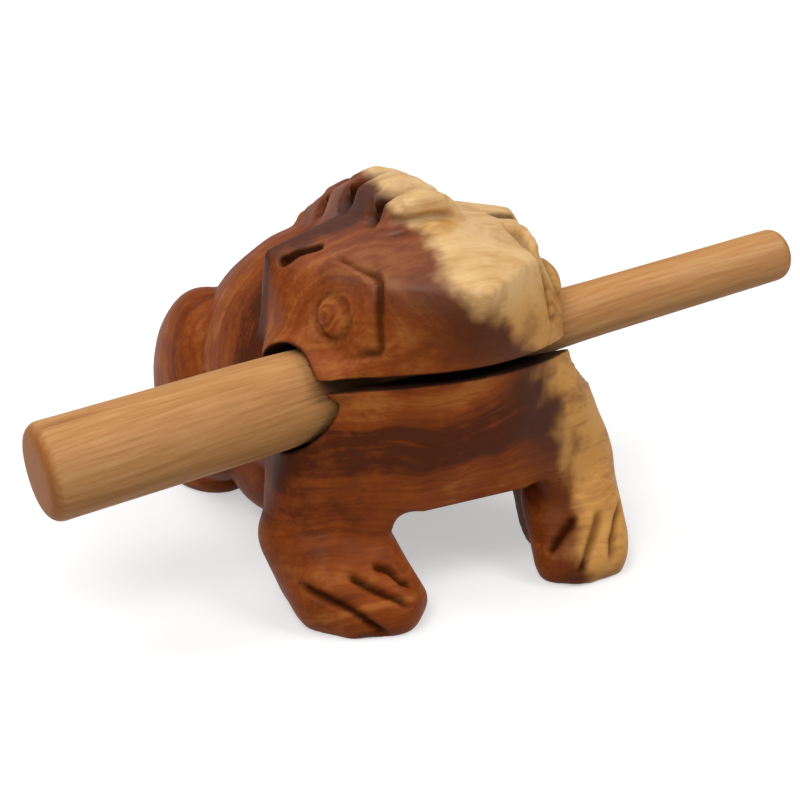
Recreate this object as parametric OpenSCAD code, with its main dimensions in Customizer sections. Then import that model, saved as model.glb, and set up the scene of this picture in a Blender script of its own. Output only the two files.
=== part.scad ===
// Carved frog guiro with its striker kept in the cross bore behind the mouth.
// Millimetres. The frog faces -Y, the bore runs along X and the soles stand on Z = 0.
// The frog is one block of wood, cut to shape. The striker is a turned, tapered stick.

// Piece to draw

/* [Overall] */
// Width of the block, across the thighs
frog_w = 74; // [66:1:84]
// Height of the block, to the top of the crest
frog_h = 70.5; // [68:0.5:78]

/* [Bore and mouth] */
// Diameter of the cross bore
bore_d = 19; // [18.6:0.1:20]
// Slope of the bore, drilled a little up towards +X, in degrees
bore_slope = 1.1; // [0.8:0.1:1.6]
// Height of the bore above the floor
bore_z = 39; // [36:0.5:43]
// Height of the sawn mouth gap
mouth_gap = 2; // [1.6:0.1:3]
// Upward slope of the mouth towards the front, in degrees
mouth_rise = 11; // [4:1:14]
// Sideways slope of the mouth, down towards +X, in degrees
mouth_roll = 1; // [0:0.2:2]

/* [Head] */
// Width across the cheeks
head_w = 55; // [50:1:60]
// Lips in front of the bore's middle
muzzle_l = 17.5; // [16:0.5:20]
// Back of the head behind the bore's middle
nape_l = 18; // [15:0.5:21]
// Height of the brows above the bore
brow_h = 22.5; // [20:0.5:25]
// Height of the eyes above the bore
eye_h = 14.5; // [12.5:0.5:16]
// Length of an eye
eye_size = 12; // [9:0.5:14]
// Lean of the eye's oval from upright, in degrees
eye_lean = 50; // [0:5:90]
// Depth of the knife lines round the eyes and brows
line_depth = 0.8; // [0.5:0.1:1.2]

/* [Crest] */
// Width of the crest at its foot
crest_w = 18; // [14:0.5:22]
// Number of notches across the crest
notch_count = 5; // [3:1:6]
// Distance from one notch to the next
notch_pitch = 11; // [9:0.5:13]
// Depth of a notch
notch_depth = 4.2; // [3:0.1:6]

/* [Back and belly] */
// Width of the rounded body behind the head
body_w = 66; // [58:1:72]
// Length of the rounded body
body_l = 70; // [62:1:80]
// Height of the rounded body
body_h = 53; // [47:1:60]
// Middle of the body behind the bore
body_back = 27; // [23:1:31]

/* [Legs] */
// Width of the arch between the forelegs
arch_w = 31; // [27:1:35]
// Height of the arch
arch_h = 18.5; // [14:0.5:20]
// Thickness of a foreleg at the elbow
leg_d = 17; // [14:0.5:20]
// Distance between the middles of the forelegs
leg_gap = 54; // [48:1:58]
// Length of a forefoot from heel to toe tips
foot_l = 32; // [27:1:37]
// Forefeet turn inwards by this angle
toe_in = 20; // [8:1:28]
// Depth of the knife cuts between the toes
toe_cut = 1.1; // [0.6:0.1:1.4]
// Width of a thigh
thigh_w = 22; // [18:1:26]
// Length of a thigh
thigh_l = 36; // [30:1:42]
// Height of a thigh
thigh_h = 39; // [33:1:45]

/* [Striker] */
// Length of the striker
striker_l = 152; // [130:1:170]
// Diameter at the thick end
thick_d = 17.8; // [16:0.1:18.6]
// Diameter at the thin end
thin_d = 10; // [8:0.1:12]
// Rounding of both ends
end_round = 2.6; // [1:0.1:4]
// How far its middle rests to the thick side
rest_x = 0.6; // [0:0.1:0.8]
// Play between striker and bore where they touch
play = 0.3; // [0.2:0.05:0.4]

/* [Hidden] */
edge_r = 2;
far = 240;
cheek = head_w/2;
lip_z = bore_z + bore_d*0.21;
brow_z = bore_z + brow_h - edge_r;
crest_z = frog_h;
crest_h = crest_z - bore_z;
brow_turn = 17;
body_z = bore_z - body_h*0.17;
leg_x = leg_gap/2;
leg_r = leg_d/2;
thigh_x = frog_w/2 - thigh_w/2;
toe_r = foot_l*0.14;
arch_r = arch_w*0.08;
crest_r = crest_w*0.14;
rump_y = body_back + max(body_l/2, thigh_l*1.03);
toe_y = -foot_l*0.775;
// the middle of the frog's length stands over the origin
shift_y = -(rump_y + toe_y)/2;

// Both sides of the frog
module both() {
    children();
    mirror([1, 0, 0]) children();
}

// An egg-shaped mass, as first roughed out of the block
module lump(c, r, turn = [0, 0, 0], facets = 32) {
    translate(c) rotate(turn) scale(r) sphere(r = 1, $fn = facets);
}

// A rounded corner of a carved mass
module dot(c, r, facets = 16) {
    translate(c) sphere(r = r, $fn = facets);
}

// A knife line along a row of points on the surface
module knife(points, r) {
    for (i = [1 : len(points) - 1]) {
        d = points[i] - points[i - 1];
        translate(points[i - 1])
            rotate([0, acos(d.z/norm(d)), atan2(d.y, d.x)])
                cylinder(r = r, h = norm(d), $fn = 6);
    }
}

// Round back and belly
module barrel() {
    lump([0, body_back, body_z], [body_w/2, body_l/2, body_h/2], facets = 48);
}

// Upper jaw: round lips below, a pointed forehead above that rises to the crest
module head() {
    side = cheek - edge_r;
    hull() {
        // lips, a little fuller towards -X, and the cheeks behind them
        lump([-cheek*0.025, 1, lip_z + edge_r], [cheek*0.975, muzzle_l + 1, edge_r + 0.5], facets = 36);
        lump([-cheek*0.025, 1, bore_z], [cheek*0.975, muzzle_l + 1, edge_r], facets = 36);
        both() dot([side, nape_l - 1, lip_z + 1], edge_r);
        // midline from nose tip to nape
        dot([0, -muzzle_l - 1.5, brow_z], edge_r);
        dot([0, -1, crest_z - crest_h*0.2], edge_r);
        dot([0, nape_l*1.1, crest_z - crest_h*0.22], edge_r);
        // rounded muzzle
        lump([0, 0, brow_z - brow_h*0.31], [cheek*0.77, muzzle_l + 1.5, brow_h*0.18], facets = 36);
        both() {
            // brow edge
            dot([side*0.56, -muzzle_l*0.51, brow_z], edge_r);
            dot([side*0.93, nape_l, brow_z - edge_r], edge_r);
        }
    }
}

// Lower jaw and chest, running down into the forelegs in one mass
module chest() {
    difference() {
        hull() {
            lump([-cheek*0.025, edge_r/2, bore_z*1.115],
                 [cheek*0.975, muzzle_l*1.086, edge_r], facets = 36);
            lump([0, edge_r/2, bore_z*0.8], [cheek, muzzle_l*1.114, bore_z*0.23], facets = 36);
            both() {
                dot([leg_x + 0.2, -leg_r*0.39, bore_z*0.385], leg_r, 24);
                dot([leg_x*0.67, -leg_r*1.12, bore_z*0.41], leg_r*0.7, 24);
                dot([leg_x, -leg_r*0.59, bore_z*0.205], leg_r*0.88, 24);
                dot([cheek*0.8, nape_l, bore_z], edge_r*1.5);
            }
        }
        arch();
    }
}

// Swelling of one cheek round the mouth of the bore
module swell() {
    lump([cheek*0.66, nape_l*0.17, bore_z*1.1], [cheek*0.38, nape_l*0.83, bore_d*0.42], facets = 36);
}

// Saw cut that parts the forelegs, wider at the back
module arch() {
    back_w = arch_w*1.29;
    translate([0, foot_l*0.375, 0])
        rotate([90, 0, 0])
            linear_extrude(height = foot_l*1.375, scale = [0.65, 1])
                offset(r = arch_r, $fn = 24)
                    translate([arch_r - back_w/2, -arch_h])
                        square([back_w - 2*arch_r, 2*arch_h - arch_r]);
}

// Fall of the crest: slight over the head, then ever steeper over the back
function fall(y) =
    let (u = max(0, y - notch_pitch*2))
    0.03*y + 0.4*u + u*u/notch_pitch/12;

// Ridge along the back, before the notches
module ridge() {
    last = notch_pitch*4.1;
    top = crest_z - crest_r;
    hull() {
        dot([0, nape_l*1.1, bore_z + crest_h*0.25], crest_r);
        for (y = [notch_pitch*0.5, notch_pitch*2, notch_pitch*3.2, last]) {
            dot([0, y, top - fall(y)], crest_r);
            // rounded shoulders, then the foot of the ridge
            both() {
                dot([crest_w*0.26, y, top - fall(y) - crest_w*0.09], crest_r);
                dot([crest_w*0.38, y, top - fall(y) - crest_w*0.33], crest_r);
            }
        }
    }
}

// Notches that make the rasp, square to the ridge and following its fall
module notches() {
    for (i = [0 : notch_count - 1]) {
        y = notch_pitch*(i + 0.9);
        slope = max(12, atan(fall(y + 0.5) - fall(y - 0.5)));
        translate([0, y, crest_z - notch_depth - fall(y)])
            rotate([-slope, 0, 0])
                scale([1, 0.7, 1])
                    rotate([45, 0, 0])
                        translate([-crest_w, 0, 0]) cube([crest_w*2, crest_w, crest_w]);
    }
}

// Forefoot, turned inwards, flat below and sloping down to the toes
module forefoot() {
    translate([leg_x - 1.5, -2, 0])
        rotate([0, 0, -toe_in])
            hull() {
                // heel, elbow and instep
                dot([leg_r*0.3, -foot_l*0.09, leg_r*0.6], leg_r*0.76);
                dot([leg_r*0.24, -0.7, leg_r*1.53], leg_r);
                dot([-leg_r*0.27, -foot_l*0.26, leg_r*1.35], leg_r*0.76);
                dot([leg_r*0.47, -foot_l*0.28, leg_r*1.06], leg_r*0.76);
                // toes
                dot([leg_r*0.7, -foot_l*0.32, toe_r*0.9], toe_r + 1);
                dot([leg_r*0.53, -foot_l*0.5, toe_r*0.7], toe_r + 0.4);
                dot([0, -foot_l*0.61, toe_r*0.7], toe_r);
                dot([-leg_r*0.41, -foot_l*0.58, toe_r*0.7], toe_r - 0.4);
            }
}

// The forefoot on the -X side, left broader towards its outer side
module broad_foot() {
    inner = leg_x - leg_r;
    mirror([1, 0, 0])
        translate([inner, 0, 0])
            scale([1.08, 1, 1])
                translate([-inner, 0, 0])
                    children();
}

// Knife cuts that part the toes, running inwards over the front of the foot
module toe_cuts() {
    x = leg_x;
    f = foot_l;
    knife([[x - f*0.17, -f*0.55, f*0.37], [x - f*0.27, -f*0.6, f*0.31],
           [x - f*0.4, -f*0.63, f*0.21]], toe_cut);
    knife([[x - f*0.03, -f*0.56, f*0.35], [x - f*0.11, -f*0.63, f*0.29],
           [x - f*0.25, -f*0.73, f*0.19], [x - f*0.31, -f*0.77, f*0.07]], toe_cut);
    knife([[x + f*0.16, -f*0.46, f*0.27], [x + f*0.06, -f*0.58, f*0.24],
           [x - f*0.05, -f*0.69, f*0.175], [x - f*0.14, -f*0.75, f*0.07]], toe_cut);
}

// Folded hind leg: thigh, shank and foot
module hind_leg() {
    lump([thigh_x, body_back + thigh_l/2, thigh_h*0.56],
         [thigh_w/2, thigh_l/2, thigh_h/2], [0, 0, 8], 36);
    lump([thigh_x - thigh_w*0.36, body_back + thigh_l*0.08, thigh_h*0.26],
         [thigh_w*0.45, thigh_l*0.44, thigh_h*0.26], facets = 24);
    lump([thigh_x - 1, body_back + thigh_l*0.67, thigh_h*0.08],
         [thigh_w*0.41, thigh_l*0.36, thigh_h*0.155], facets = 24);
}

// Thin eyelid along the brow edge
module brow() {
    lump([cheek*0.65, -muzzle_l*0.05, brow_z + edge_r*0.4], [cheek*0.06, muzzle_l*0.42, brow_h*0.06],
         [0, 0, -brow_turn], 24);
}

// Knife lines: behind the temple, over the eyelid, down the muzzle and under the eye
module face_lines() {
    x = cheek;
    z = brow_z;
    knife([[x*0.62, nape_l*0.62, z + edge_r*0.95], [x*0.71, nape_l*0.69, z + edge_r*0.6],
           [x*0.77, nape_l*0.71, z + edge_r*0.35], [x*0.84, nape_l*0.72, z],
           [x*0.9, nape_l*0.79, z - edge_r*0.85]], line_depth);
    knife([[x*0.66, nape_l*0.45, z + edge_r*0.7], [x*0.63, nape_l*0.3, z + edge_r*0.8],
           [x*0.59, -muzzle_l*0.03, z + edge_r*0.85], [x*0.54, -muzzle_l*0.38, z + edge_r*0.95]],
          line_depth);
    knife([[x*0.56, -muzzle_l*0.49, z + brow_h*0.06], [x*0.59, -muzzle_l*0.58, z - brow_h*0.05],
           [x*0.61, -muzzle_l*0.63, z - brow_h*0.2], [x*0.625, -muzzle_l*0.71, z - brow_h*0.43],
           [x*0.705, -muzzle_l*0.62, z - brow_h*0.475], [x*0.82, -muzzle_l*0.49, z - brow_h*0.54]],
          line_depth);
}

// The eye looks out to the side and a little up, and its oval leans back
module on_eye() {
    translate([cheek*0.79, -muzzle_l*0.18, bore_z + eye_h])
        rotate([0, -28, -16])
            rotate([-eye_lean, 0, 0])
                children();
}

// Groove that rings the eyeball
module eye_ring() {
    on_eye()
        rotate([0, 90, 0])
            scale([1, 0.74, 1])
                rotate_extrude($fn = 28)
                    translate([eye_size*0.53, 0]) circle(r = line_depth, $fn = 6);
}

// Oval eyeball left standing inside its ring
module eye() {
    on_eye() lump([-eye_size*0.1, 0, 0], [eye_size*0.2, eye_size*0.34, eye_size*0.46], facets = 24);
}

// Carved form of the whole block, before boring and sawing
module carving() {
    difference() {
        union() {
            barrel();
            head();
            chest();
            ridge();
            // the cheek on the -X side is left fuller
            scale([0.9, 1, 1]) swell();
            mirror([1, 0, 0]) scale([1.1, 1, 1]) swell();
            forefoot();
            broad_foot() forefoot();
            both() {
                hind_leg();
                brow();
            }
        }
        notches();
        toe_cuts();
        broad_foot() toe_cuts();
        both() {
            face_lines();
            eye_ring();
        }
    }
    both() eye();
}

// Cross bore
module bore() {
    translate([0, 0, bore_z])
        rotate([0, 90 - bore_slope, 0])
            cylinder(d = bore_d, h = far, center = true, $fn = 64);
}

// Mouth, sawn from the front into the bore
module mouth() {
    translate([0, 0, bore_z + bore_d*0.108])
        rotate([-mouth_rise, mouth_roll, 0])
            translate([-far/2, -far/2, -mouth_gap/2])
                cube([far, far/2, mouth_gap]);
}

module frog_body() {
    color("SaddleBrown")
    translate([0, shift_y, 0])
    difference() {
        resize([frog_w, 0, 0]) carving();
        bore();
        mouth();
        // flat soles
        translate([-far/2, -far/2, -far]) cube(far);
    }
}

// Striker radius at a distance along it: a straight grip, then a taper to a slim shaft
function striker_r(s) =
    let (u = min(max((s/striker_l - 0.24)/0.5, 0), 1))
    thick_d/2*(1 - 0.12*s/striker_l) * (1 - u*u*(3 - 2*u))
    + thin_d/2*(1.17 - 0.17*s/striker_l) * u*u*(3 - 2*u);

module striker() {
    // it rests on the near rim's bottom and under the far rim's top
    rim = cheek*1.14;
    near = striker_r(striker_l/2 + rest_x - rim);
    over = striker_r(striker_l/2 + rest_x + rim);
    rise = rim*tan(bore_slope);
    z1 = bore_z - rise - bore_d/2 + near + play;
    z2 = bore_z + rise + bore_d/2 - over - play;
    tilt = atan((z2 - z1)/(2*rim));
    r1 = striker_r(0) - end_round;
    r2 = striker_r(striker_l) - end_round;
    color("BurlyWood")
    translate([0, shift_y, (z1 + z2)/2])
        rotate([0, 90 - tilt, 0])
            translate([0, 0, -striker_l/2 - rest_x])
                rotate_extrude($fn = 48)
                    polygon(concat(
                        [[0, 0]],
                        [for (a = [0 : 18 : 90]) [r1 + end_round*sin(a), end_round*(1 - cos(a))]],
                        [for (i = [1 : 17]) [striker_r(striker_l*i/18), striker_l*i/18]],
                        [for (a = [90 : -18 : 0])
                            [r2 + end_round*sin(a), striker_l - end_round*(1 - cos(a))]],
                        [[0, striker_l]]));
}

frog_body();
striker();
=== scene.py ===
import math

import bpy
import numpy as np
from mathutils import Matrix, Vector


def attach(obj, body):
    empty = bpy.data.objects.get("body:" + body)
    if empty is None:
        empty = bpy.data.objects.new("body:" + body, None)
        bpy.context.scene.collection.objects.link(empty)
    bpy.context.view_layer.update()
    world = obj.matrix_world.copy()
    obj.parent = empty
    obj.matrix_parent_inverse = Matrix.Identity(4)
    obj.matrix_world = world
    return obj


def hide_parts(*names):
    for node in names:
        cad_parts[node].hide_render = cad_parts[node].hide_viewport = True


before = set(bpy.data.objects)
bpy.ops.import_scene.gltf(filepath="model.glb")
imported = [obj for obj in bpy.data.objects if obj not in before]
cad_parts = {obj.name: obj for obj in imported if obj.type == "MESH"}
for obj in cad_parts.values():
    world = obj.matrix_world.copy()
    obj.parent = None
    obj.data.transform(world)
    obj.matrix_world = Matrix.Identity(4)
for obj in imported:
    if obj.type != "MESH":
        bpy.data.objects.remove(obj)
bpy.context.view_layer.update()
bpy.context.scene.view_settings.view_transform = "Standard"

# The frog: one block of rain tree wood, bored across behind the mouth and sawn open at the lips.
# It is roughed out by saw, carved with knife and gouge, sanded by hand and waxed.
# Most of it is brown heartwood, and the heart of the tree runs from eye to eye. The +X side is pale sapwood.

MM = 0.001
BORE_Y, BORE_Z, BORE_R, BORE_SLOPE = -19.64, 39, 9.5, math.radians(1.1)
MOUTH_Z, MOUTH_GAP, MOUTH_RISE, MOUTH_ROLL = 41.05, 2, math.radians(11), math.radians(1)
BORE_AT = np.array((0, BORE_Y, 0))              # rows of points are measured from here
TOE_X, TOE_Y, TOE_Z = 12, -11, 13
SAME_SPOT, VOXEL, FROG_TRIANGLES = 0.002, 0.3, 190000
FIRST_SANDING, LONG_SANDING, LAST_SANDING = 9, 170, 2
UNEVEN, UNEVEN_WIDTH = 0.4, 9


def take_up(piece):
    bpy.ops.object.select_all(action="DESELECT")
    piece.select_set(True)
    bpy.context.view_layer.objects.active = piece


def work(piece, kind, **settings):
    take_up(piece)
    modifier = piece.modifiers.new(kind.lower(), kind)
    for name, value in settings.items():
        setattr(modifier, name, value)
    bpy.ops.object.modifier_apply(modifier=modifier.name)


def sand(piece, rounds, **settings):
    work(piece, "SMOOTH", factor=0.5, iterations=rounds, **settings)


def places(piece):
    """Where each vertex is, in millimetres from the middle of the bore, seen along it."""
    spots = np.empty(len(piece.data.vertices)*3)
    piece.data.vertices.foreach_get("co", spots)
    return spots.reshape(-1, 3)/MM - BORE_AT


def put(piece, spots):
    piece.data.vertices.foreach_set("co", ((spots + BORE_AT)*MM).ravel())
    piece.data.update()


def directions(piece):
    normals = np.empty(len(piece.data.vertices)*3)
    piece.data.vertex_normals.foreach_get("vector", normals)
    return normals.reshape(-1, 3)


frog = bpy.data.objects.new("carved_frog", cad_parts["frog_body"].data.copy())
bpy.context.scene.collection.objects.link(frog)
frog.data.materials.clear()
take_up(frog)
bpy.ops.object.mode_set(mode="EDIT")
bpy.ops.mesh.select_all(action="SELECT")
bpy.ops.mesh.remove_doubles(threshold=SAME_SPOT*MM)
bpy.ops.object.mode_set(mode="OBJECT")

# The toes are closed up first, to be parted again below by cuts with soft edges.
spots = places(frog)
x, y, z = spots.T
for side in (-1, 1):
    tips = (side*x > TOE_X) & (y < TOE_Y) & (z < TOE_Z)
    block = bpy.data.objects.new("toes", bpy.data.meshes.new("toes"))
    block.data.from_pydata(((spots[tips] + BORE_AT)*MM).tolist(), [], [])
    bpy.context.scene.collection.objects.link(block)
    take_up(block)
    bpy.ops.object.mode_set(mode="EDIT")
    bpy.ops.mesh.select_all(action="SELECT")
    bpy.ops.mesh.convex_hull()
    bpy.ops.object.mode_set(mode="OBJECT")
    frog.select_set(True)
    bpy.context.view_layer.objects.active = frog
    bpy.ops.object.join()
work(frog, "REMESH", mode="VOXEL", voxel_size=VOXEL*MM)
sand(frog, FIRST_SANDING)


def joined(piece):
    ends = np.empty(len(piece.data.edges)*2, dtype=np.int64)
    piece.data.edges.foreach_get("vertices", ends)
    return ends.reshape(-1, 2).T


def spread(values, edges, rounds):
    """Values averaged with those of the neighbours."""
    one, two = edges
    size = len(values)
    count = np.bincount(one, minlength=size) + np.bincount(two, minlength=size)
    for _ in range(rounds):
        total = np.bincount(one, values[two], size) + np.bincount(two, values[one], size)
        values = 0.5*values + 0.5*total/np.maximum(count, 1)
    return values


def widen(values, edges, rounds):
    """The highest value among the neighbours."""
    one, two = edges
    for _ in range(rounds):
        wider = values.copy()
        np.maximum.at(wider, one, values[two])
        np.maximum.at(wider, two, values[one])
        values = wider
    return values


def step(low, high, values):
    """A soft step, from 0 at low to 1 at high."""
    t = np.clip((values - low)/(high - low), 0, 1)
    return t*t*(3 - 2*t)


def weigh(piece, name, weights, levels=20):
    group = piece.vertex_groups.new(name=name)
    steps = np.round(np.clip(weights, 0, 1)*levels).astype(int)
    for level in range(1, levels + 1):
        group.add(np.flatnonzero(steps == level).tolist(), level/levels, "REPLACE")


def along(points, gap=0.4):
    """Spots laid closely along a row of points."""
    legs = [np.linspace(a, b, 2 + int(math.dist(a, b)/gap)) for a, b in zip(points, points[1:])]
    return np.concatenate(legs)


def nearness(spots, row, reach):
    """How far each spot is from a row, and how far along the row its nearest point is, from 0 to 1."""
    apart, share = np.full(len(spots), np.inf), np.zeros(len(spots))
    inside = (spots > row.min(axis=0) - reach) & (spots < row.max(axis=0) + reach)
    close = np.flatnonzero(inside.all(axis=1))
    gaps = np.linalg.norm(spots[close, None] - row[None], axis=2)
    apart[close] = gaps.min(axis=1)
    share[close] = gaps.argmin(axis=1)/(len(row) - 1)
    return apart, share


def mirrored(points):
    return [(-x, y, z) for x, y, z in points]


# The carved lines, as rows of points, those of the face on the -X side.
# The panel's line runs along the lid, down the muzzle and under the eye.
TEMPLE = [(-16.8, 10.9, 61.5), (-21.2, 12.8, 60.2), (-23.1, 13, 59.5), (-24.7, 14.3, 57.8)]
EYE_PANEL = [(-18.2, 8.1, 60.9), (-17.3, 5.5, 61.1), (-16.3, -0.6, 61.2), (-14.9, -6.6, 61.4),
             (-15.4, -8.6, 60.6), (-16.3, -10.2, 58.4), (-16.7, -11, 55), (-17.2, -12.4, 50),
             (-17.6, -12.3, 49.2), (-19.4, -10.9, 48.8), (-22.5, -8.5, 47.4)]
LID = [(-19.4, 5.2, 60.3), (-18.1, -0.2, 60.2), (-16.2, -6.8, 60.1)]
EYE = [(-22.7, 1.4, 52.2), (-22, 1.8, 53.8), (-21.3, 1.5, 55), (-20.3, 0.3, 56), (-19.7, -1.3, 56),
       (-19.4, -3.1, 55.3), (-19.4, -5, 54.2), (-19.8, -6.4, 52.8), (-20.5, -6.8, 51.4),
       (-21.6, -6.2, 50.3), (-22.5, -5, 50), (-23, -3.2, 50.2), (-23.1, -0.8, 51.1), (-22.7, 1.4, 52.2)]
TOE_LINES = [
    [(-33.9, -13.1, 9.1), (-31, -16.1, 7.4), (-27.9, -19.9, 5.8), (-24.2, -22.2, 3.3), (-20.7, -23.8, 1)],
    [(-26.8, -17.6, 10.2), (-24, -19.8, 8.3), (-21, -21.8, 6.4), (-17.7, -23, 3.9)],
    [(-22.1, -18, 11.6), (-19.3, -18.4, 9.5), (-17.6, -20.8, 8.5), (-15.3, -21.1, 6.8)],
    [(20.5, -17.2, 10.8), (17.8, -18.3, 9.3), (15.4, -18.9, 7.2), (13.1, -19.6, 5.8)],
    [(25.2, -17.9, 11.9), (22.9, -19.4, 8.6), (19.9, -22.1, 6), (17.3, -23.6, 2.2)],
    [(32, -13.8, 10.5), (27.9, -18.9, 9.2), (25.2, -21.8, 6.7), (23.6, -22.6, 2.8)]]
NOTCHES = [[(-9, y, z - 3.5), (-7.2, y, z - 1), (-4, y, z), (4, y, z), (7.2, y, z - 1), (9, y, z - 3.5)]
           for y, z in ((9.9, 66), (20.9, 65.7), (31.9, 60.6))]
TEETH = [[(-5.5, y, z - 0.6), (0, y, z), (5.5, y, z - 0.6)]
         for y, z in ((5, 70), (15.4, 70), (26, 68), (37.4, 62))]
FULL_FOOT = [(-33, -17, 5), (-20, -24, 4), (27, -22, 4)]
CREST_FOOT = [(-7.4, 6, 66.3), (-4.1, 3, 66.5), (0.5, 3, 66.3), (6, 4, 66)]

# A cut has a depth, a width and a darkness, which is the grime and painted shade in it, and a swelling has a
# height and a width.
TEMPLE_CUT, PANEL_CUT, EYE_CUT, TOE_CUT = (1.7, 0.9, 4), (0.8, 0.65, 0.75), (0.6, 0.8, 0.5), (1.3, 0.75, 1)
NOTCH_CUT, CREST_FOOT_CUT = (1.9, 1.7, 1.2), (0.6, 0.9, 0.6)
FOOT_SWELL, TOOTH_SWELL, LID_SWELL, EYE_SWELL = (1.3, 7), (0.6, 2.2), (0.6, 0.8), (0.6, 2.8)

cuts = [(row, *cut) for points, cut in ((TEMPLE, TEMPLE_CUT), (EYE_PANEL, PANEL_CUT), (EYE, EYE_CUT))
        for row in (points, mirrored(points))]
cuts += [(row, *TOE_CUT) for row in TOE_LINES]
crest_cuts = [(row, *NOTCH_CUT) for row in NOTCHES] + [(CREST_FOOT, *CREST_FOOT_CUT)]
swells = [([spot, spot], *FOOT_SWELL) for spot in FULL_FOOT] + [(row, *TOOTH_SWELL) for row in TEETH]
swells += [(row, *LID_SWELL) for row in (LID, mirrored(LID))]
swells += [([np.mean(row, axis=0)]*2, *EYE_SWELL) for row in (EYE, mirrored(EYE))]

# Sandpaper takes the flats off the broad forms and leaves the notches and the sawn edges.
# A turn of more than 11 degrees is such an edge. Ankles, toes and rump, bounded in mm, are sanded all over.
edges = joined(frog)
facing = directions(frog)
turn = np.degrees(np.arccos(np.clip((facing[edges[0]]*facing[edges[1]]).sum(axis=1), -1, 1)))
sharp = np.zeros(len(facing))
np.maximum.at(sharp, edges[0], turn)
np.maximum.at(sharp, edges[1], turn)
sharp = spread(widen(sharp, edges, 3), edges, 6)
spots = places(frog)
x, y, z = spots.T
ankle = step(11, 13, z)*step(26, 22, z)*step(6, 2, y)*step(10.5, 12.5, np.abs(x))
toes = step(1, 2.5, z)*step(17, 14, z)*step(-8, -11, y)*step(11.5, 13.5, np.abs(x))
rump = step(48.5, 50.5, y)
worn = np.max([step(11, 5, sharp), ankle, toes, rump], axis=0)
for row, *cut in cuts:
    worn = np.maximum(worn, step(4, 3, nearness(spots, along(row), 5)[0]))
weigh(frog, "worn", spread(worn, edges, 6))
sand(frog, LONG_SANDING, vertex_group="worn")

# Hand tools leave the broad forms very slightly uneven.
hand = bpy.data.textures.new("hand_work", "CLOUDS")
hand.noise_scale = UNEVEN_WIDTH*MM
hand.noise_depth = 1
work(frog, "DISPLACE", texture=hand, texture_coords="LOCAL", strength=UNEVEN*MM, mid_level=0.5,
     vertex_group="worn")


def laid(piece, row):
    """A row of spots drawn onto the surface."""
    drawn = [piece.closest_point_on_mesh(Vector((spot + BORE_AT)*MM))[1] for spot in along(row)]
    return np.array(drawn)/MM - BORE_AT


def ends(row, share):
    """A cut runs out at both ends, and a ring has none."""
    return 1 if np.linalg.norm(row[0] - row[-1]) < 1 else step(0, 0.15, share)*step(1, 0.85, share)


def carve(piece, row, depth, width):
    """A groove with soft edges along a row, or a swelling where the depth is negative.
    It gives how far each spot lies in the groove."""
    line = laid(piece, row)
    spots, facing = places(piece), directions(piece)
    apart, share = nearness(spots, line, 3*width)
    share = ends(line, share)*np.exp(-(apart/width)**2)
    put(piece, spots - facing*(depth*share)[:, None])
    return share


def mark(piece, name, values):
    layer = piece.data.attributes.new(name, "FLOAT", "POINT")
    layer.data.foreach_set("value", values.astype(np.float32))


for row, height, width in swells:
    carve(frog, row, -height, width)
# each cut's darkness is grime and painted shade, laid into its groove
grooves = [dark*carve(frog, row, depth, width) for row, depth, width, dark in cuts + crest_cuts]
mark(frog, "cut", np.minimum(np.max(grooves, axis=0), 1))
sand(frog, LAST_SANDING)
work(frog, "DECIMATE", ratio=min(1, FROG_TRIANGLES/(2*len(frog.data.polygons))))
frog.vertex_groups.clear()
spots = places(frog)
spots[:, 2] = np.maximum(spots[:, 2], 0)        # the soles are rubbed flat
put(frog, spots)
take_up(frog)
bpy.ops.object.shade_smooth()

# Wax, dust and painted shade darken the cuts and creases.
edges = joined(frog)
spots, facing = places(frog), directions(frog)
size = len(spots)
lie = ((spots[edges[1]] - spots[edges[0]])*facing[edges[0]]).sum(axis=1)
lie_back = ((spots[edges[0]] - spots[edges[1]])*facing[edges[1]]).sum(axis=1)
count = np.bincount(edges[0], minlength=size) + np.bincount(edges[1], minlength=size)
crease_grime_and_shade = np.bincount(edges[0], lie, size) + np.bincount(edges[1], lie_back, size)
crease_grime_and_shade = step(0.02, 0.1, spread(crease_grime_and_shade/np.maximum(count, 1), edges, 3))
cut = np.empty(size, dtype=np.float32)
frog.data.attributes["cut"].data.foreach_get("value", cut)
frog.data.attributes.remove(frog.data.attributes["cut"])
mark(frog, "crease_grime_and_shade", np.maximum(crease_grime_and_shade, cut))

# The walls of the bore and the two faces of the mouth are painted near black, for the shade deep inside them
# and some scorch from drill and saw.
x, y, z = spots.T
from_bore = np.hypot(y, z - BORE_Z - x*math.tan(BORE_SLOPE))
up = (z - MOUTH_Z + x*math.tan(MOUTH_ROLL))*math.cos(MOUTH_RISE) + y*math.sin(MOUTH_RISE)
bored = step(BORE_R + 0.7, BORE_R + 0.1, from_bore)
sawn = step(MOUTH_GAP/2 + 0.45, MOUTH_GAP/2 + 0.1, np.abs(up))*step(2, -2, y)
mark(frog, "inner_shade_and_scorch", np.maximum(bored, sawn))


def paint(code):
    """A colour written in sRGB hex, as linear light."""
    parts = [int(code[i:i + 2], 16)/255 for i in (1, 3, 5)]
    return [c/12.92 if c <= 0.04045 else ((c + 0.055)/1.055)**2.4 for c in parts] + [1]


def add(tree, kind, links=None, out=0, stops=None, **settings):
    """One node: for each input a value or the output that feeds it, its ramp stops and its settings.
    It gives the output that is asked for."""
    node = tree.nodes.new("ShaderNode" + kind)
    for name, value in settings.items():
        setattr(node, name, value)
    if stops:
        ramp = node.color_ramp.elements
        while len(ramp) < len(stops):
            ramp.new(1)
        for element, (place, colour) in zip(ramp, stops):
            element.position = place
            element.color = paint(colour) if isinstance(colour, str) else (colour, colour, colour, 1)
    for name, value in (links or {}).items():
        if isinstance(value, bpy.types.NodeSocket):
            tree.links.new(value, node.inputs[name])
        else:
            node.inputs[name].default_value = value
    return node.outputs[out] if node.outputs else None


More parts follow.
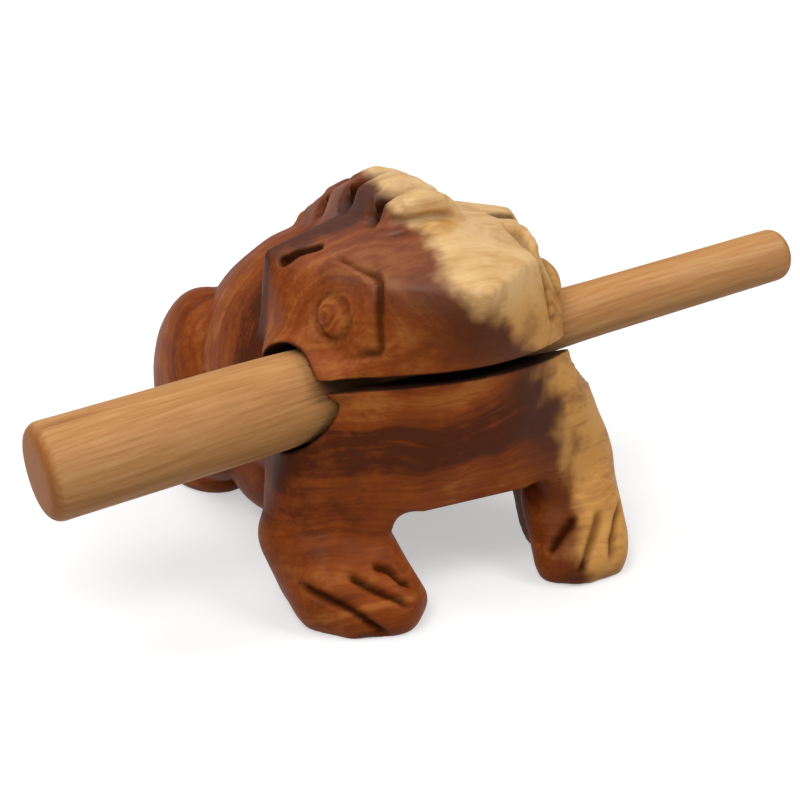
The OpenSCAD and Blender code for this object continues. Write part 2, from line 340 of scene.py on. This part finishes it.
# Waxed rain tree: growth layers lie round the heart of the tree, which runs from eye to eye.
# The heartwood is red-brown with darker layers, the sapwood pale straw, and the wax has a satin shine.
HEART_DARK, HEART, HEART_WARM, HEART_LIGHT = "#55240A", "#803B11", "#954817", "#AE652B"
# of these dark colours, the second is grime with painted shade in the cuts, and the third is painted shade,
# with some scorch, in the bore and the mouth
STAIN, GRIME_AND_SHADE, SCORCH_AND_SHADE = "#4A2413", "#2A1206", "#0D0603"
SAP, SAP_LINE, SAP_TAN, SAP_BROWN = "#EBC288", "#CD9852", "#DC9F55", "#A86E34"
HEART_Y, HEART_Z = BORE_Y - 3, 53
LAYER, BAND, BLOTCH, EYE_RING = 1.7, 9, 6, 1.3
FIBRE, PORE = 0.5, 0.25                         # drawn wider than life, so that they show
FIBRE_STRETCH, PORE_STRETCH = (0.05, 1, 1), (0.08, 1, 1)
WANDER, BEND, WAVE = 30, 12, 4                  # how far apart the layers sway, and by how much
OLDEST = 60
TONE_BY_AGE = [(0.06, 0.62), (0.11, 0.62), (0.19, 0.62), (0.235, 0.55), (0.275, 0.67), (0.34, 0.32),
               (0.45, 0.32), (0.53, 0.52), (0.68, 0.53)]
SAP_CROWN, SAP_FLANK = ((0.691, -0.206, 0.692), 47.64), ((0.764, -0.611, 0.208), 41.5)

carved_wood = bpy.data.materials.new("waxed_rain_tree")
carved_wood.use_nodes = True
tree = carved_wood.node_tree
tree.nodes.clear()
place = add(tree, "TexCoord", out="Object")
in_mm = add(tree, "VectorMath", {0: place, "Scale": 1/MM}, operation="SCALE")
drift = add(tree, "TexNoise", {"Vector": in_mm, "Scale": 1/WANDER, "Detail": 2}, "Color")
drift = add(tree, "VectorMath", {0: drift, 1: (0.5, 0.5, 0.5)}, operation="SUBTRACT")
bent = add(tree, "VectorMath", {0: drift, 1: (BEND, BEND, BEND), 2: in_mm}, operation="MULTIPLY_ADD")
from_heart = add(tree, "VectorMath", {0: bent, 1: (0, HEART_Y, HEART_Z)}, operation="SUBTRACT")
from_heart = add(tree, "VectorMath", {0: from_heart, 1: (0.04, 1, 1)}, operation="MULTIPLY")
age = add(tree, "VectorMath", {0: from_heart}, "Value", operation="LENGTH")
slow = add(tree, "VectorMath", {0: in_mm, 1: (0.02, 0.05, 0.05)}, operation="MULTIPLY")
layers = add(tree, "Math", {0: age, 1: 1/LAYER}, operation="MULTIPLY")
layers = add(tree, "TexNoise", {"Vector": slow, "W": layers, "Scale": 1, "Detail": 3, "Roughness": 0.6},
             "Fac", noise_dimensions="4D")
bands = add(tree, "Math", {0: age, 1: 1/BAND}, operation="MULTIPLY")
bands = add(tree, "TexNoise", {"Vector": slow, "W": bands, "Scale": 1, "Detail": 2, "Roughness": 0.5},
            "Fac", noise_dimensions="4D")
lengthwise = add(tree, "VectorMath", {0: bent, 1: FIBRE_STRETCH}, operation="MULTIPLY")
fibres = add(tree, "TexNoise", {"Vector": lengthwise, "Scale": 0.5/FIBRE, "Detail": 4,
                                "Roughness": 0.6}, "Fac")
fine = add(tree, "VectorMath", {0: in_mm, 1: PORE_STRETCH}, operation="MULTIPLY")
pores = add(tree, "TexNoise", {"Vector": fine, "Scale": 0.5/PORE, "Detail": 2, "Roughness": 0.5}, "Fac")
blotch = add(tree, "TexNoise", {"Vector": in_mm, "Scale": 1/BLOTCH, "Detail": 2.5, "Roughness": 0.5}, "Fac")
blotch = add(tree, "Math", {0: blotch, 1: 0.5}, operation="SUBTRACT")

# the same layers show in both woods, faintly in the sapwood
tone = add(tree, "Math", {0: layers, 1: 0.55, 2: -0.2}, operation="MULTIPLY_ADD")
for pattern, strength in ((bands, 0.5), (fibres, 0.35), (blotch, 0.4)):
    tone = add(tree, "Math", {0: pattern, 1: strength, 2: tone}, operation="MULTIPLY_ADD")
sap = add(tree, "ValToRGB", {"Fac": tone}, stops=[(0.3, SAP_LINE), (0.58, SAP)])
tan = add(tree, "ValToRGB", {"Fac": tone}, stops=[(0.3, SAP_BROWN), (0.54, SAP_TAN)])

# heartwood is light near the heart, dusky across the chest and warm further out, with rings in the eye
shift = add(tree, "Math", {0: age, 1: 1/OLDEST}, operation="MULTIPLY")
shift = add(tree, "ValToRGB", {"Fac": shift}, stops=TONE_BY_AGE)
shift = add(tree, "Math", {0: shift, 1: 0.5}, operation="SUBTRACT")
tone = add(tree, "Math", {0: tone, 1: shift}, operation="ADD")
rings = add(tree, "Math", {0: age, 1: 2*math.pi/EYE_RING}, operation="MULTIPLY")
rings = add(tree, "Math", {0: rings}, operation="SINE")
inner = add(tree, "MapRange", {"Value": age, "From Min": 6.5, "From Max": 3, "To Max": 0.05})
tone = add(tree, "Math", {0: rings, 1: inner, 2: tone}, operation="MULTIPLY_ADD")
heart = add(tree, "ValToRGB", {"Fac": tone},
            stops=[(0.32, HEART_DARK), (0.47, HEART), (0.6, HEART_WARM), (0.74, HEART_LIGHT)])

# the sapwood lies under the bark, along the upper +X corner of the block and down the leg on that side
waved = add(tree, "VectorMath", {0: drift, 1: (WAVE, WAVE, WAVE), 2: in_mm}, operation="MULTIPLY_ADD")
planes = []
for lean, distance in (SAP_CROWN, SAP_FLANK):
    plane = add(tree, "VectorMath", {0: waved, 1: lean}, "Value", operation="DOT_PRODUCT")
    planes.append(add(tree, "Math", {0: plane, 1: distance}, operation="SUBTRACT"))
edge = add(tree, "Math", dict(enumerate(planes)), operation="MAXIMUM")
high = add(tree, "SeparateXYZ", {0: in_mm}, "Z")
crown = add(tree, "MapRange", {"Value": high, "From Min": 64, "From Max": 70, "To Max": 2})
edge = add(tree, "Math", {0: edge, 1: crown}, operation="ADD")
edge = add(tree, "Math", {0: blotch, 1: 6.5, 2: edge}, operation="MULTIPLY_ADD")
jag = add(tree, "Math", {0: fibres, 1: 0.5}, operation="SUBTRACT")
edge = add(tree, "Math", {0: jag, 1: 0.3, 2: edge}, operation="MULTIPLY_ADD")
pale = add(tree, "MapRange", {"Value": edge, "From Min": -2.5, "From Max": 1.5},
           interpolation_type="SMOOTHSTEP")
low = add(tree, "MapRange", {"Value": high, "From Min": 64, "From Max": 50},
          interpolation_type="SMOOTHSTEP")
sap = add(tree, "MixRGB", {"Fac": low, "Color1": sap, "Color2": tan})

# the heartwood next to it is stained dark, widely on the muzzle and less on the crown and the foot
reach = add(tree, "MapRange", {"Value": high, "From Min": 42, "From Max": 48, "To Min": -9, "To Max": -17})
near = add(tree, "MapRange", {"Value": edge, "From Min": reach, "From Max": -2, "To Max": 0.8},
           interpolation_type="SMOOTHSTEP")
for start, stop, least in ((68, 58, 0), (12, 30, 0.5)):
    fade = add(tree, "MapRange", {"Value": high, "From Min": start, "From Max": stop, "To Min": least})
    near = add(tree, "Math", {0: near, 1: fade}, operation="MULTIPLY")
heart = add(tree, "MixRGB", {"Fac": near, "Color1": heart, "Color2": paint(STAIN)})
wood = add(tree, "MixRGB", {"Fac": pale, "Color1": heart, "Color2": sap})

# open pores are thin dark dashes along the fibre, and fewer show in the sapwood
dashes = add(tree, "MapRange", {"Value": pores, "From Min": 0.4, "From Max": 0.28, "To Max": 0.3})
red = add(tree, "MapRange", {"Value": pale, "To Min": 1, "To Max": 0.3})
dashes = add(tree, "Math", {0: dashes, 1: red}, operation="MULTIPLY")
wood = add(tree, "MixRGB", {"Fac": dashes, "Color1": wood, "Color2": paint(HEART_DARK)})

# grime and painted shade fill the cuts, and painted shade, with some scorch, darkens the sawn and bored
# faces
cut_shade_and_grime = add(tree, "Attribute", out="Fac", attribute_name="crease_grime_and_shade")
cut_shade_and_grime = add(tree, "Math", {0: cut_shade_and_grime, 1: 0.9}, operation="MULTIPLY")
lighter = add(tree, "MapRange", {"Value": pale, "To Min": 1, "To Max": 0.75})
cut_shade_and_grime = add(tree, "Math", {0: cut_shade_and_grime, 1: lighter}, operation="MULTIPLY")
wood = add(tree, "MixRGB", {"Fac": cut_shade_and_grime, "Color1": wood, "Color2": paint(GRIME_AND_SHADE)})
inner_shade_and_char = add(tree, "Attribute", out="Fac", attribute_name="inner_shade_and_scorch")
inner_shade_and_char = add(tree, "Math", {0: inner_shade_and_char, 1: 0.92}, operation="MULTIPLY")
wood = add(tree, "MixRGB", {"Fac": inner_shade_and_char, "Color1": wood, "Color2": paint(SCORCH_AND_SHADE)})

# hands polish the head and the back, and the lower parts, the cuts and the darkened sawn and bored faces
# stay dull
shine = add(tree, "MapRange", {"Value": fibres, "From Min": 0.3, "From Max": 0.7, "To Min": 0.42,
                               "To Max": 0.58})
shine = add(tree, "Math", {0: inner_shade_and_char, 1: 0.45, 2: shine}, operation="MULTIPLY_ADD")
polish = add(tree, "MapRange", {"Value": high, "From Min": 54, "From Max": 64, "To Min": 0.12,
                                "To Max": 0.5}, interpolation_type="SMOOTHSTEP")
bare = add(tree, "Math", {0: 1, 1: cut_shade_and_grime}, operation="SUBTRACT")
polish = add(tree, "Math", {0: polish, 1: bare}, operation="MULTIPLY")
relief = add(tree, "Bump", {"Height": pores, "Strength": 0.2, "Distance": 0.1*MM})
surface = add(tree, "BsdfPrincipled", {"Base Color": wood, "Roughness": shine, "Normal": relief,
                                       "Specular IOR Level": polish})
add(tree, "OutputMaterial", {"Surface": surface})
frog.data.materials.append(carved_wood)

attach(frog, "frog")
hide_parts("frog_body")

# The striker: a stick of plain hardwood, turned to a taper on a lathe and rounded over at both ends.
# It is kept in the frog's mouth bore, where it lies on one rim and under the other.

LENGTH, THICK, THIN, END_ROUND, REST_X = 152, 17.8, 10, 2.6, 0.6
GRIP_END, SHAFT_START = 0.24, 0.74              # as shares of the length
GRIP_FALL, SHAFT_FALL = 0.12, 0.17
MIDDLE = Vector((0, BORE_Y, 40.598))
TILT = math.radians(5.3357)
SIDES, RING_START, RING_STOP, RING_GAP = 72, 7.5, LENGTH - 4, 4.5


def radius(s):
    taper = step(GRIP_END, SHAFT_START, s/LENGTH)
    grip = THICK/2*(1 - GRIP_FALL*s/LENGTH)
    shaft = THIN/2*(1 + SHAFT_FALL - SHAFT_FALL*s/LENGTH)
    return grip*(1 - taper) + shaft*taper


rounding = [(END_ROUND*(1 - math.cos(math.radians(a))), END_ROUND*(1 - math.sin(math.radians(a))))
            for a in range(0, 91, 15)]
outline = [(s, radius(0) - inset) for s, inset in rounding]
outline += [(s, radius(s)) for s in np.arange(RING_START, RING_STOP, RING_GAP)]
outline += [(LENGTH - s, radius(LENGTH) - inset) for s, inset in reversed(rounding)]

bpy.ops.object.select_all(action="DESELECT")
bpy.ops.mesh.primitive_circle_add(vertices=SIDES, radius=outline[0][1]*MM, fill_type="NGON",
                                  location=(0, 0, -(LENGTH/2 + REST_X)*MM))
stick = bpy.context.object
stick.name = stick.data.name = "turned_striker"
bpy.ops.object.mode_set(mode="EDIT")
bpy.ops.mesh.select_all(action="SELECT")
for (s0, r0), (s1, r1) in zip(outline, outline[1:]):
    bpy.ops.mesh.extrude_region_move(TRANSFORM_OT_translate={"value": (0, 0, (s1 - s0)*MM)})
    bpy.ops.transform.resize(value=(r1/r0, r1/r0, 1))
bpy.ops.mesh.select_all(action="SELECT")
bpy.ops.mesh.normals_make_consistent(inside=False)
bpy.ops.object.mode_set(mode="OBJECT")
take_up(stick)
bpy.ops.object.transform_apply(location=True, rotation=True, scale=True)
stick.data.transform(Matrix.Translation(MIDDLE*MM) @ Matrix.Rotation(math.pi/2 - TILT, 4, "Y"))
bpy.ops.object.shade_smooth_by_angle(angle=math.radians(40))

# Turned hardwood, oiled: straight fibres along the stick, a few brown streaks, a dull satin shine.
STICK, STICK_LIGHT, STICK_LINE = "#C68D56", "#D5A46D", "#AA7440"
STICK_STREAK, STICK_END = "#7F4A26", "#A65E22"
STICK_LAYER, STICK_HEART = 1.3, (0, 26, -22)
STICK_FIBRE = 0.3                               # drawn wider than life, so that it shows
STREAK = 2.5
STICK_SHADE_AT, STICK_SHADE_SIZE = (-20, -7.4, 3.8), (8, 3, 3)

striker_wood = bpy.data.materials.new("oiled_turned_hardwood")
striker_wood.use_nodes = True
tree = striker_wood.node_tree
tree.nodes.clear()
place = add(tree, "TexCoord", out="Object")
in_mm = add(tree, "VectorMath", {0: place, "Scale": 1/MM}, operation="SCALE")
on_axis = add(tree, "VectorMath", {0: in_mm, 1: tuple(MIDDLE)}, operation="SUBTRACT")
on_axis = add(tree, "Mapping", {"Vector": on_axis, "Rotation": (0, TILT, 0)})
drift = add(tree, "VectorMath", {0: on_axis, 1: (0.012, 0.07, 0.07)}, operation="MULTIPLY")
drift = add(tree, "TexNoise", {"Vector": drift, "Scale": 1, "Detail": 1}, "Color")
drift = add(tree, "VectorMath", {0: drift, 1: (0.5, 0.5, 0.5)}, operation="SUBTRACT")
bent = add(tree, "VectorMath", {0: drift, 1: (0, 5, 5), 2: on_axis}, operation="MULTIPLY_ADD")
from_heart = add(tree, "VectorMath", {0: bent, 1: STICK_HEART}, operation="SUBTRACT")
from_heart = add(tree, "VectorMath", {0: from_heart, 1: (0.015, 1, 1)}, operation="MULTIPLY")
age = add(tree, "VectorMath", {0: from_heart}, "Value", operation="LENGTH")
age = add(tree, "Math", {0: age, 1: 1/STICK_LAYER}, operation="MULTIPLY")
slow = add(tree, "VectorMath", {0: on_axis, 1: (0.008, 0.05, 0.05)}, operation="MULTIPLY")
layers = add(tree, "TexNoise", {"Vector": slow, "W": age, "Scale": 1, "Detail": 2, "Roughness": 0.5},
             "Fac", noise_dimensions="4D")
lengthwise = add(tree, "VectorMath", {0: bent, 1: FIBRE_STRETCH}, operation="MULTIPLY")
fibres = add(tree, "TexNoise", {"Vector": lengthwise, "Scale": 0.5/STICK_FIBRE, "Detail": 4,
                                "Roughness": 0.6}, "Fac")
streaks = add(tree, "TexNoise", {"Vector": lengthwise, "Scale": 0.5/STREAK, "Detail": 3,
                                 "Roughness": 0.6}, "Fac")
tone = add(tree, "Math", {0: layers, 1: 0.4, 2: 0.07}, operation="MULTIPLY_ADD")
tone = add(tree, "Math", {0: fibres, 1: 0.46, 2: tone}, operation="MULTIPLY_ADD")
wood = add(tree, "ValToRGB", {"Fac": tone}, stops=[(0.34, STICK_LINE), (0.5, STICK), (0.66, STICK_LIGHT)])
streaks = add(tree, "MapRange", {"Value": streaks, "From Min": 0.6, "From Max": 0.72, "To Max": 0.55})
wood = add(tree, "MixRGB", {"Fac": streaks, "Color1": wood, "Color2": paint(STICK_STREAK)})
tip = add(tree, "SeparateXYZ", {0: on_axis}, "X")
tip = add(tree, "Math", {0: tip, 1: REST_X}, operation="ADD")
tip = add(tree, "Math", {0: tip}, operation="ABSOLUTE")
tip = add(tree, "MapRange", {"Value": tip, "From Min": LENGTH/2 - 2, "From Max": LENGTH/2 - 0.5,
                             "To Max": 0.75})
wood = add(tree, "MixRGB", {"Fac": tip, "Color1": wood, "Color2": paint(STICK_END)})

# painted shade: a small dark patch on the stick, where it lies in the shade behind the corner of the mouth
stick_shade = add(tree, "VectorMath", {0: on_axis, 1: STICK_SHADE_AT}, operation="SUBTRACT")
stick_shade = add(tree, "VectorMath", {0: stick_shade, 1: tuple(1/size for size in STICK_SHADE_SIZE)}, operation="MULTIPLY")
stick_shade = add(tree, "VectorMath", {0: stick_shade}, "Value", operation="LENGTH")
stick_shade = add(tree, "Math", {0: fibres, 1: 0.6, 2: stick_shade}, operation="MULTIPLY_ADD")
stick_shade = add(tree, "MapRange", {"Value": stick_shade, "From Min": 1.6, "From Max": 0.8, "To Max": 0.75},
           interpolation_type="SMOOTHSTEP")
wood = add(tree, "MixRGB", {"Fac": stick_shade, "Color1": wood, "Color2": paint(SCORCH_AND_SHADE)})
relief = add(tree, "Bump", {"Height": fibres, "Strength": 0.15, "Distance": 0.08*MM})
surface = add(tree, "BsdfPrincipled", {"Base Color": wood, "Roughness": 0.55, "Normal": relief,
                                       "Specular IOR Level": 0.15})
add(tree, "OutputMaterial", {"Surface": surface})
stick.data.materials.clear()
stick.data.materials.append(striker_wood)

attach(stick, "striker")
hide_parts("striker")

# The floor: a sheet of white paper, wide enough to fill the picture, under soft studio light.
# It is lifted to full white for the eye alone, so the shadow under the frog still shows on it.

FLOOR, PAPER, PAPER_SHADE, LIFT = 3.0, "#D8D8D8", "#A0A0A0", 0.46

bpy.ops.object.select_all(action="DESELECT")
bpy.ops.mesh.primitive_plane_add(size=2*FLOOR, location=(0, 0, 0))
floor = bpy.context.object
floor.name = "floor"

# White paper: matt and even, with no shine. The light that it throws back on the frog is held down.
paper = bpy.data.materials.new("white_paper")
paper.use_nodes = True
tree = paper.node_tree
tree.nodes.clear()
matt = add(tree, "BsdfDiffuse", {"Color": paint(PAPER)})
dull = add(tree, "BsdfDiffuse", {"Color": paint(PAPER_SHADE)})
glow = add(tree, "Emission", {"Color": (1, 1, 1, 1), "Strength": LIFT})
lifted = add(tree, "AddShader", {0: matt, 1: glow})
seen = add(tree, "LightPath").node.outputs
looked = add(tree, "Math", {0: seen["Is Camera Ray"], 1: seen["Is Glossy Ray"]}, operation="MAXIMUM")
looked = add(tree, "Math", {0: looked, 1: seen["Is Transmission Ray"]}, operation="MAXIMUM")
sheet = add(tree, "MixShader", {0: looked, 1: dull, 2: lifted})
add(tree, "OutputMaterial", {"Surface": sheet})
floor.data.materials.append(paper)

# Soft studio light: a large lamp overhead, one in front to each side, and a pale room.

AIM = Vector((0, 0, 32))*MM
LAMPS = [("overhead", (-0.35, 0.3, 1.05), 0.7, 4.1), ("key", (-0.55, -0.45, 0.95), 0.6, 4.8),
         ("fill", (0.65, -0.55, 0.9), 0.6, 4.5)]
ROOM_LIGHT = 0.29

for name, spot, width, power in LAMPS:
    bpy.ops.object.light_add(type="AREA", location=spot,
                             rotation=(AIM - Vector(spot)).to_track_quat("-Z", "Y").to_euler())
    lamp = bpy.context.object
    lamp.name = name
    lamp.data.size = width
    lamp.data.energy = power

room = bpy.data.worlds.new("pale_room")
bpy.context.scene.world = room
room.use_nodes = True
tree = room.node_tree
tree.nodes.clear()
sky = add(tree, "Background", {"Color": (1, 1, 1, 1), "Strength": ROOM_LIGHT})
add(tree, "OutputWorld", {"Surface": sky})

# The camera looks down from in front, a little from the -X side, through a long lens.

LOOK, REACH = Vector((-7.2, BORE_Y, 33.2)), 435.9
AZIMUTH, ELEVATION = math.radians(-26.5), math.radians(25)
SENSOR, LENS = 36, 108

back = Vector((math.sin(AZIMUTH)*math.cos(ELEVATION), -math.cos(AZIMUTH)*math.cos(ELEVATION),
               math.sin(ELEVATION)))
bpy.ops.object.camera_add(location=(LOOK + back*REACH)*MM, rotation=(math.pi/2 - ELEVATION, 0, AZIMUTH))
camera = bpy.context.object
camera.data.sensor_width = SENSOR
camera.data.lens = LENS
bpy.context.scene.camera = camera
